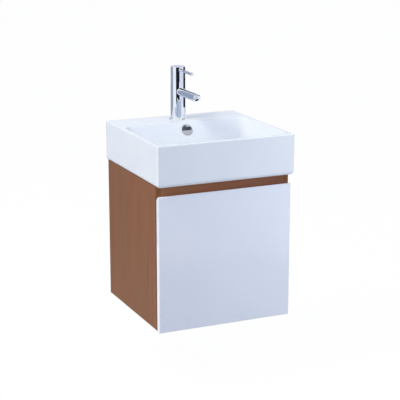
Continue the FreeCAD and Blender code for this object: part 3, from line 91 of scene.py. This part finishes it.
class Shader:
    """A node material, built step by step on one principled shader."""

    def __init__(self, name):
        self.material = bpy.data.materials.new(name)
        self.material.use_nodes = True
        self.tree = self.material.node_tree
        self.principled = self.tree.nodes["Principled BSDF"]
        self.place = self.tree.nodes.new("ShaderNodeTexCoord").outputs["Object"]

    def node(self, kind, **settings):
        made = self.tree.nodes.new(kind)
        for key, value in settings.items():
            setattr(made, key, value)
        return made

    def link(self, source, target):
        self.tree.links.new(source, target)

    def put(self, value, socket):
        """Links what another node gives, or sets a constant number or colour."""
        if hasattr(value, "links"):
            self.link(value, socket)
        elif isinstance(value, tuple):
            socket.default_value = (*value, 1.0)
        else:
            socket.default_value = value

    def set(self, **values):
        for key, value in values.items():
            self.principled.inputs[key.replace("_", " ")].default_value = value

    def feed(self, name, source):
        self.link(source, self.principled.inputs[name])

    def stretched(self, scale):
        """Object coordinates, scaled by axis."""
        mapping = self.node("ShaderNodeMapping")
        self.link(self.place, mapping.inputs["Vector"])
        mapping.inputs["Scale"].default_value = scale
        return mapping.outputs["Vector"]

    def noise(self, scale=(1, 1, 1), size=1.0, detail=2.0, rough=0.5, bend=0.0):
        noise = self.node("ShaderNodeTexNoise")
        self.link(self.stretched(scale), noise.inputs["Vector"])
        noise.inputs["Scale"].default_value = size
        noise.inputs["Detail"].default_value = detail
        noise.inputs["Roughness"].default_value = rough
        noise.inputs["Distortion"].default_value = bend
        return noise.outputs["Fac"]

    def ramp(self, fac, stops):
        ramp = self.node("ShaderNodeValToRGB")
        elements = ramp.color_ramp.elements
        while len(elements) < len(stops):
            elements.new(0.5)
        for element, (at, colour) in zip(elements, stops):
            element.position = at
            element.color = (*colour, 1.0)
        self.link(fac, ramp.inputs["Fac"])
        return ramp.outputs["Color"]

    def spread(self, fac, low, high, start=0.3, end=0.7):
        """Maps a texture value, or a place, from start and end to low and high."""
        mapped = self.node("ShaderNodeMapRange")
        self.link(fac, mapped.inputs["Value"])
        mapped.inputs["From Min"].default_value = start
        mapped.inputs["From Max"].default_value = end
        mapped.inputs["To Min"].default_value = low
        mapped.inputs["To Max"].default_value = high
        return mapped.outputs["Result"]

    def mix(self, fac, first, second, blend="MIX"):
        mix = self.node("ShaderNodeMix", data_type="RGBA", blend_type=blend)
        for index, value in zip(MIX_INPUTS, (fac, first, second)):
            self.put(value, mix.inputs[index])
        return mix.outputs[MIX_RESULT]

    def math(self, operation, first, second):
        made = self.node("ShaderNodeMath", operation=operation)
        for index, value in enumerate((first, second)):
            self.put(value, made.inputs[index])
        return made.outputs["Value"]

    def bump(self, height, strength, distance):
        """Adds a relief on top of those set before."""
        bump = self.node("ShaderNodeBump")
        bump.inputs["Strength"].default_value = strength
        bump.inputs["Distance"].default_value = distance
        self.link(height, bump.inputs["Height"])
        normal = self.principled.inputs["Normal"]
        if normal.is_linked:
            self.link(normal.links[0].from_socket, bump.inputs["Normal"])
        self.feed("Normal", bump.outputs["Normal"])

    def axis_value(self, axis):
        parts = self.node("ShaderNodeSeparateXYZ")
        self.link(self.place, parts.inputs["Vector"])
        return parts.outputs[axis]


def ceramic():
    """White glaze, slightly wavy, with bare clay on the wall side and the seat."""
    s = Shader("glazed_ceramic")
    s.set(IOR=1.52, Coat_Weight=0.25, Coat_Roughness=0.03)
    cloud = s.noise(size=9.0, detail=3.0)
    speck = s.noise(size=900.0, detail=1.0)
    glaze = s.mix(s.spread(speck, 0.0, 0.05, 0.66, 0.74), s.ramp(cloud, GLAZE), GLAZE_SPECK)
    clay_grain = s.noise(size=420.0, detail=4.0, rough=0.7)
    wall_side = s.spread(s.axis_value("Y"), 0.0, 1.0, *CLAY_WALL_Y)
    seat_side = s.spread(s.axis_value("Z"), 1.0, 0.0, *CLAY_SEAT_Z)
    bare = s.math("MAXIMUM", wall_side, seat_side)
    s.feed("Base Color", s.mix(bare, glaze, s.ramp(clay_grain, CLAY)))
    gloss = s.spread(cloud, 0.055, 0.10)
    s.feed("Roughness", s.math("ADD", gloss, s.math("MULTIPLY", bare, CLAY_ROUGHNESS)))
    s.bump(s.noise(size=26.0, detail=1.0), 0.10, 0.0012)
    s.bump(s.math("MULTIPLY", clay_grain, bare), 0.35, 0.0006)
    return s.material


def lacquer():
    """Gloss white paint with a faint orange peel."""
    s = Shader("white_lacquer")
    s.set(IOR=1.50, Coat_Weight=0.35, Coat_Roughness=0.06)
    cloud = s.noise(size=5.0, detail=3.0)
    fleck = s.noise(size=700.0, detail=1.0)
    flecked = s.mix(s.spread(fleck, 0.0, 0.03, 0.62, 0.75), s.ramp(cloud, PAINT), PAINT_FLECK)
    s.feed("Base Color", flecked)
    s.feed("Roughness", s.spread(s.noise(size=60.0, detail=3.0), 0.10, 0.18))
    s.bump(s.noise(size=420.0, detail=1.0), 0.06, 0.0004)
    s.bump(s.noise(size=8.0, detail=1.0), 0.05, 0.0015)
    return s.material


def wood(name, across, along, tone, panel=False, light_and_shade_ramp=None):
    """Reddish brown veneer: broad bands, fibres and short pores along the grain.

    A panel has a banded front edge darkened partly as painted shade, a dark line of painted
    shade on its side face just behind that edge, and bare chipboard on its back edge.
    A given ramp paints light and shade along the front rail: lighter at its left end, darker at
    its right end.
    """
    s = Shader(name)
    s.set(IOR=1.45, Specular_IOR_Level=0.05)

    def grain(cross, length, other, **more):
        scale = [other, other, other]
        scale[across] = cross
        scale[along] = length
        return s.noise(tuple(scale), **more)

    bands = grain(17.0, 0.9, 3.0, detail=3.0, rough=0.55, bend=0.6)
    streaks = grain(70.0, 2.2, 8.0, detail=4.0, rough=0.6, bend=0.4)
    fibres = grain(520.0, 7.0, 60.0, detail=3.0, rough=0.6)
    pores = grain(1500.0, 42.0, 300.0, detail=2.0)
    base = s.ramp(bands, [(at, tuple(tone * v for v in colour)) for at, colour in VENEER])
    base = s.mix(0.8, base, s.ramp(streaks, VENEER_STREAKS), "MULTIPLY")
    line = s.ramp(fibres, VENEER_FIBRES)
    base = s.mix(0.55, base, line, "MULTIPLY")
    # Painted light and shade along the rail, lighter at the left end and darker at the right.
    if light_and_shade_ramp:
        shade_run = s.spread(s.axis_value("X"), 0.0, 1.0, *RAIL_SHADE_SPAN_X)
        base = s.mix(1.0, base, s.ramp(shade_run, light_and_shade_ramp), "MULTIPLY")
    if panel:
        depth = s.axis_value("Y")
        # Painted shade: a dark line on the side face just behind the front edge, where the
        # drawer front meets the panel.
        base = s.mix(s.spread(depth, 0.55, 0.0, *PAINTED_SHADE_LINE_Y), base, PAINTED_SHADE_LINE)
        # The front edge band, its colour darkened as painted shade.
        edge = s.mix(1.0, s.ramp(fibres, SHADED_EDGE_BAND), line, "MULTIPLY")
        base = s.mix(s.spread(depth, 1.0, 0.0, *EDGE_BAND_Y), base, edge)
        flakes = s.noise((300.0, 300.0, 170.0), detail=4.0, rough=0.7)
        core = s.ramp(flakes, CHIPBOARD)
        base = s.mix(s.spread(depth, 0.0, 1.0, *BARE_BACK_Y), base, core)
    s.feed("Base Color", s.mix(s.spread(pores, 0.42, 0.0, *PORE_VALUES), base, VENEER_PORE))
    s.feed("Roughness", s.spread(streaks, 0.42, 0.56))
    s.bump(fibres, 0.12, 0.0004)
    s.bump(s.spread(pores, 0.0, 1.0, *PORE_VALUES), 0.18, 0.0003)
    return s.material


def chrome(name, dark, light, low, high):
    """Plating with a little haze."""
    s = Shader(name)
    s.set(Metallic=1.0)
    cloud = s.noise(size=40.0, detail=3.0)
    s.feed("Base Color", s.ramp(cloud, [(0.3, dark), (0.7, light)]))
    s.feed("Roughness", s.spread(s.noise(size=160.0, detail=4.0), low, high))
    return s.material


def metal(name, dark, light, low, high, grain):
    """Drawn or turned metal with fine lines."""
    s = Shader(name)
    s.set(Metallic=1.0)
    lines = s.noise(grain, detail=3.0, rough=0.6)
    cloud = s.noise(size=35.0, detail=4.0)
    tint = s.ramp(cloud, [(0.3, dark), (0.7, light)])
    groove = tuple(0.72 * v for v in dark)
    s.feed("Base Color", s.mix(s.spread(lines, 0.0, 0.25), tint, groove))
    s.feed("Roughness", s.spread(lines, low, high))
    s.bump(lines, 0.08, 0.0003)
    return s.material


def moulded(name, dark, light, low, high, size):
    """Plastic, rubber or a small dowel, with a fine skin."""
    s = Shader(name)
    s.set(IOR=1.49)
    cloud = s.noise(size=22.0, detail=3.0)
    skin = s.noise(size=size, detail=2.0)
    s.feed("Base Color", s.ramp(cloud, [(0.3, dark), (0.7, light)]))
    s.feed("Roughness", s.spread(skin, low, high))
    s.bump(skin, 0.12, 0.0002)
    return s.material


def board():
    """White melamine with a pearl surface."""
    s = Shader("white_board")
    s.set(IOR=1.50)
    pearl = s.noise(size=620.0, detail=2.0)
    cloud = s.noise(size=6.0, detail=2.0)
    s.feed("Base Color", s.ramp(cloud, MELAMINE))
    s.feed("Roughness", s.spread(pearl, 0.34, 0.48))
    s.bump(pearl, 0.12, 0.0003)
    return s.material


SIDE_WOOD = wood("wood_side", Y, Z, SIDE_TONE, panel=True)
# The rail's veneer carries painted light and shade: brighter than the side's overall, lighter at
# its left end and darker at its right end.
RAIL_WOOD = wood("wood_rail_painted_light_and_shade", Z, X, RAIL_PAINTED_LIGHT_TONE, light_and_shade_ramp=RAIL_PAINTED_LIGHT_AND_SHADE)
# Made ones: name, dark and light colour, least and most roughness, and the grain's size.
FINISHES = {
    "glazed_ceramic": ceramic(),
    "chrome": chrome("chrome", (0.82, 0.85, 0.905), (0.86, 0.885, 0.93), 0.02, 0.05),
    "wood_veneer": SIDE_WOOD,
    "white_lacquer": lacquer(),
    "white_board": board(),
    "beech": moulded("beech", (0.42, 0.26, 0.13), (0.50, 0.33, 0.18), 0.5, 0.65, 300.0),
    "zinc_steel": metal("zinc_steel", (0.50, 0.52, 0.54), (0.62, 0.64, 0.66), 0.24, 0.40,
                        (900.0, 12.0, 900.0)),
    "brass": metal("brass", (0.56, 0.40, 0.16), (0.66, 0.50, 0.22), 0.20, 0.34,
                   (60.0, 60.0, 1500.0)),
    "white_plastic": moulded("white_plastic", (0.72, 0.72, 0.71), (0.78, 0.78, 0.77),
                             0.28, 0.42, 500.0),
    "grey_plastic": moulded("grey_plastic", (0.24, 0.25, 0.26), (0.30, 0.31, 0.32),
                            0.35, 0.50, 500.0),
    "rubber": moulded("rubber", (0.012, 0.012, 0.013), (0.022, 0.022, 0.023), 0.55, 0.75, 700.0),
    "clear_rubber": moulded("clear_rubber", (0.55, 0.55, 0.53), (0.62, 0.62, 0.60),
                            0.20, 0.32, 400.0),
}
AERATOR = moulded("aerator", (0.010, 0.011, 0.014), (0.020, 0.021, 0.025), 0.35, 0.50, 600.0)
SATIN = chrome("satin_chrome", (0.80, 0.82, 0.87), (0.85, 0.87, 0.91), 0.38, 0.46)

for part in frame["record"]["subparts"]:
    obj = NODES[part["node"]]
    obj.data.materials.clear()
    obj.data.materials.append(FINISHES[part["material_slot"]])
NODES["front_rail"].data.materials[0] = RAIL_WOOD
NODES["aerator_insert"].data.materials[0] = AERATOR
NODES["overflow_ring"].data.materials[0] = SATIN

# Small trim, in millimetres, at places from the part's source.
MM = 0.001
TAP_Y = -62.0
LEVER_Z = 360.0
# The collar's section: distance in front of the tap's axis, and radius.
COLLAR = [(22.0, 5.0), (22.0, 7.0), (26.6, 7.0), (27.5, 6.75),
          (28.1, 6.1), (28.3, 5.5), (28.1, 5.15), (27.6, 5.0)]
COLLAR_STEPS = 48
OVERFLOW_AT = Vector((0.0, -138.619, 164.0))
WALL_UP = Vector((0.0, 55.0, 105.0)).normalized()
WALL_OUT = Vector((0.0, -105.0, 55.0)).normalized()
HOOD_RADIUS = 18.2
HOOD_EDGE = 11.3
HOOD_LEFT = -1.0
HOOD_STEPS = 20
# The lid's outlines from back to front: distance out of the bowl's wall, and inset.
HOOD_LAYERS = [(-0.4, 0.0), (0.7, 0.0), (1.1, 0.4)]


def add_piece(name, points, faces, body, material):
    mesh = bpy.data.meshes.new(name)
    mesh.from_pydata([tuple(MM * p) for p in points], [], faces)
    mesh.update()
    mesh.materials.append(material)
    piece = bpy.data.objects.new(name, mesh)
    SCENE.collection.objects.link(piece)
    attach(piece, body)
    return piece


def loops(count, steps, closed):
    """Quads between rows of points, each row a closed loop."""
    rows = range(count if closed else count - 1)
    return [(row * steps + step, row * steps + (step + 1) % steps,
             (row + 1) % count * steps + (step + 1) % steps, (row + 1) % count * steps + step)
            for row in rows for step in range(steps)]


def add_lever_collar():
    """Turned collar where the lever enters the cap."""
    points = []
    for reach, radius in COLLAR:
        for step in range(COLLAR_STEPS):
            angle = 2 * math.pi * step / COLLAR_STEPS
            across, up = radius * math.cos(angle), radius * math.sin(angle)
            points.append(Vector((across, TAP_Y - reach, LEVER_Z + up)))
    faces = loops(len(COLLAR), COLLAR_STEPS, True)
    collar = add_piece("lever_collar", points, faces, "handle", FINISHES["chrome"])
    collar.data.polygons.foreach_set("use_smooth", [True] * len(collar.data.polygons))


def add_overflow_hood():
    """Thin lid over the top of the overflow's slot, with a gap at its left end."""
    low = math.atan2(HOOD_EDGE, math.sqrt(HOOD_RADIUS ** 2 - HOOD_EDGE ** 2))
    high = math.acos(HOOD_LEFT / HOOD_RADIUS)
    edge = [(HOOD_LEFT, HOOD_EDGE)]
    for step in range(HOOD_STEPS):
        angle = low + (high - low) * step / (HOOD_STEPS - 1)
        edge.append((HOOD_RADIUS * math.cos(angle), HOOD_RADIUS * math.sin(angle)))
    steps = len(edge)
    middle = Vector((sum(u for u, v in edge) / steps, sum(v for u, v in edge) / steps))
    points = []
    for out, inset in HOOD_LAYERS:
        base = OVERFLOW_AT + WALL_OUT * out
        for u, v in edge:
            spot = Vector((u, v))
            spot += (middle - spot).normalized() * inset
            points.append(base + Vector((spot.x, 0.0, 0.0)) + WALL_UP * spot.y)
    count = len(HOOD_LAYERS)
    faces = loops(count, steps, False)
    faces.append(tuple(reversed(range(steps))))
    faces.append(tuple(range((count - 1) * steps, count * steps)))
    add_piece("overflow_hood", points, faces, "cabinet", SATIN)


add_lever_collar()
add_overflow_hood()

# Studio: a bluish soft light, a floor that shows as white, cards for reflections, and lamps.
SOFT_LIGHT = 0.65
SOFT_COLOUR = (0.68, 0.785, 1.0)
FLOOR_Z = -0.66
FLOOR_HALF = 30.0
FLOOR_GREY = (0.55, 0.55, 0.55)
FLOOR_PALE = (0.95, 0.95, 0.95)
FLOOR_GLOW = 0.975


def add_camera():
    data = bpy.data.cameras.new("camera")
    data.sensor_width = CAMERA_SENSOR
    data.lens = CAMERA_LENS
    camera = bpy.data.objects.new("camera", data)
    camera.location = CAMERA_AT
    turn = CAMERA_LOOK.to_track_quat("-Z", "Y") @ Quaternion((0, 0, 1), CAMERA_ROLL)
    camera.rotation_mode = "QUATERNION"
    camera.rotation_quaternion = turn
    SCENE.collection.objects.link(camera)
    SCENE.camera = camera


def add_light(name, watts, at, towards, size, colour):
    """A square lamp that mirrors don't show."""
    data = bpy.data.lights.new(name, "AREA")
    data.shape = "RECTANGLE"
    data.size = data.size_y = size
    data.energy = watts
    data.color = colour
    lamp = bpy.data.objects.new(name, data)
    lamp.location = at
    lamp.rotation_mode = "QUATERNION"
    lamp.rotation_quaternion = (Vector(towards) - Vector(at)).to_track_quat("-Z", "Y")
    lamp.visible_camera = False
    lamp.visible_glossy = False
    SCENE.collection.objects.link(lamp)


def background_ray(tree):
    """1 for what the camera, mirrors and glass see, 0 for light on the object."""
    path = tree.nodes.new("ShaderNodeLightPath")
    total = path.outputs["Is Camera Ray"]
    for name in ("Is Glossy Ray", "Is Transmission Ray"):
        joined = tree.nodes.new("ShaderNodeMath")
        joined.operation = "MAXIMUM"
        tree.links.new(total, joined.inputs[0])
        tree.links.new(path.outputs[name], joined.inputs[1])
        total = joined.outputs["Value"]
    return total


def even(tree, kind, colour):
    """A shader of one colour for the studio."""
    made = tree.nodes.new(kind)
    made.inputs["Color"].default_value = (*colour, 1.0)
    return made


def blended(tree, first, second):
    """A mix of two shaders whose factor is still to be set."""
    mix = tree.nodes.new("ShaderNodeMixShader")
    tree.links.new(first.outputs[0], mix.inputs[1])
    tree.links.new(second.outputs[0], mix.inputs[2])
    return mix


def add_world():
    """Soft light on the object, and white for the camera and mirrors."""
    world = bpy.data.worlds.new("studio")
    SCENE.world = world
    world.use_nodes = True
    tree = world.node_tree
    tree.nodes.clear()
    out = tree.nodes.new("ShaderNodeOutputWorld")
    soft = even(tree, "ShaderNodeBackground", SOFT_COLOUR)
    soft.inputs["Strength"].default_value = SOFT_LIGHT
    mix = blended(tree, soft, even(tree, "ShaderNodeBackground", WHITE))
    tree.links.new(background_ray(tree), mix.inputs["Fac"])
    tree.links.new(mix.outputs["Shader"], out.inputs["Surface"])


def studio_material(name):
    """A material with nothing but its output."""
    material = bpy.data.materials.new(name)
    material.use_nodes = True
    tree = material.node_tree
    tree.nodes.clear()
    return material, tree, tree.nodes.new("ShaderNodeOutputMaterial")


def add_plane(name, corners, material):
    mesh = bpy.data.meshes.new(name)
    mesh.from_pydata(corners, [], [(0, 1, 2, 3)])
    mesh.materials.append(material)
    plane = bpy.data.objects.new(name, mesh)
    SCENE.collection.objects.link(plane)
    return plane


def upright(start, end, low, high):
    return [(*start, low), (*end, low), (*end, high), (*start, high)]


def flat(start, end, height):
    (left, front), (right, back) = start, end
    return [(left, front, height), (right, front, height), (right, back, height),
            (left, back, height)]


def add_floor():
    """Pale floor that shows as white and keeps a faint shadow."""
    material, tree, out = studio_material("floor")
    grey = even(tree, "ShaderNodeBsdfDiffuse", FLOOR_GREY)
    pale = even(tree, "ShaderNodeBsdfDiffuse", FLOOR_PALE)
    seen = blended(tree, pale, even(tree, "ShaderNodeEmission", WHITE))
    seen.inputs["Fac"].default_value = FLOOR_GLOW
    mix = blended(tree, grey, seen)
    tree.links.new(background_ray(tree), mix.inputs["Fac"])
    tree.links.new(mix.outputs["Shader"], out.inputs["Surface"])
    corners = flat((-FLOOR_HALF, -FLOOR_HALF), (FLOOR_HALF, FLOOR_HALF), FLOOR_Z)
    add_plane("floor", corners, material)


def add_card(name, corners, colour):
    """A studio card that only reflections see."""
    material, tree, out = studio_material(name)
    glow = even(tree, "ShaderNodeEmission", colour)
    tree.links.new(glow.outputs["Emission"], out.inputs["Surface"])
    card = add_plane(name, corners, material)
    card.visible_camera = False
    card.visible_diffuse = False
    card.visible_shadow = False
    card.visible_transmission = False


add_camera()
add_world()
add_floor()

# Cards: a ring of low ones, a row of high ones, and flat ones on the floor and above.
LOW_TOP = 0.10
PALE_TOP = 0.52
LAVENDER_TOP = 0.76
FLOOR_CARD_Z = FLOOR_Z + 0.004
CEILING_Z = 2.3
BACK_LEFT = (-2.2, 1.2)
BACK_SEAM = (-0.20, 1.2)
BACK_TURN = (0.28, 1.2)
BACK_RIGHT = (1.8, 1.2)
FRONT_LEFT = (-1.97, -1.58)
FRONT_TURN = (0.12, -2.56)
FRONT_RIGHT = (1.80, -0.66)
HIGH_RIGHT = (1.8, -1.1)
HIGH_FRONT = (-0.2, -2.9)
DARK = (0.010, 0.014, 0.030)
BLUE_GREY = (0.32, 0.38, 0.52)
PALE = (0.84, 0.86, 0.94)
LAVENDER = (0.66, 0.67, 0.84)
SOFT_BLUE = (0.77, 0.82, 0.93)
CEILING = (0.42, 0.47, 0.58)
FLOOR_DIM = (0.09, 0.11, 0.17)
FLOOR_MID = (0.27, 0.31, 0.39)
CARDS = [
    ("card_front", upright(FRONT_LEFT, FRONT_TURN, FLOOR_Z, LOW_TOP), DARK),
    ("card_mid", upright(FRONT_TURN, FRONT_RIGHT, FLOOR_Z, LOW_TOP), SOFT_BLUE),
    ("card_back", upright(BACK_TURN, BACK_RIGHT, FLOOR_Z, LOW_TOP), DARK),
    ("card_right", upright(BACK_RIGHT, FRONT_RIGHT, FLOOR_Z, LOW_TOP), DARK),
    ("card_high_right", upright((1.8, 0.5), HIGH_RIGHT, 0.85, 1.60), DARK),
    ("card_high_front", upright(HIGH_RIGHT, HIGH_FRONT, 0.85, 1.65), DARK),
    ("card_high_left", upright(HIGH_FRONT, (-1.9, -2.3), 0.95, 1.65), DARK),
    ("card_beam", upright((-0.14, 1.2), (0.48, 1.2), LAVENDER_TOP, 0.98), DARK),
    ("card_pale", upright(BACK_SEAM, BACK_RIGHT, LOW_TOP, PALE_TOP), PALE),
    ("card_lavender", upright(BACK_SEAM, BACK_RIGHT, PALE_TOP, LAVENDER_TOP), LAVENDER),
    ("card_left", upright(BACK_LEFT, BACK_SEAM, FLOOR_Z, 1.00), BLUE_GREY),
    ("card_gap", upright(BACK_SEAM, BACK_TURN, FLOOR_Z, LOW_TOP), BLUE_GREY),
    ("card_side", upright((-2.2, 0.47), BACK_LEFT, FLOOR_Z, LOW_TOP), BLUE_GREY),
    ("card_floor_left", flat((-0.2, -1.85), (0.45, -0.5), FLOOR_CARD_Z), FLOOR_DIM),
    ("card_floor_right", flat((0.45, -1.85), (1.7, -0.5), FLOOR_CARD_Z), FLOOR_MID),
    ("card_top", flat((-1.6, -1.6), (1.6, 1.4), CEILING_Z), CEILING),
]
for card in CARDS:
    add_card(*card)

# Lamps: name, watts, place, what it points at, side length and colour.
LAMPS = [
    ("key", 278.0, (-4.2, -1.05, 4.8), (0.0, -0.25, 0.0), 2.4, (1.0, 0.975, 0.79)),
    ("left", 11.5, (-3.0, -0.5, 0.5), (0.0, -0.25, 0.0), 2.0, (1.0, 0.94, 1.0)),
    ("fill", 1.8, (0.80, -0.95, 0.15), (0.15, -0.45, 0.0), 0.35, WHITE),
    ("front", 5.8, (1.1, -1.5, 1.0), (0.05, -0.4, 0.0), 0.6, (0.966, 1.0, 1.0)),
]
for lamp in LAMPS:
    add_light(*lamp)

SCENE.view_settings.view_transform = "Standard"
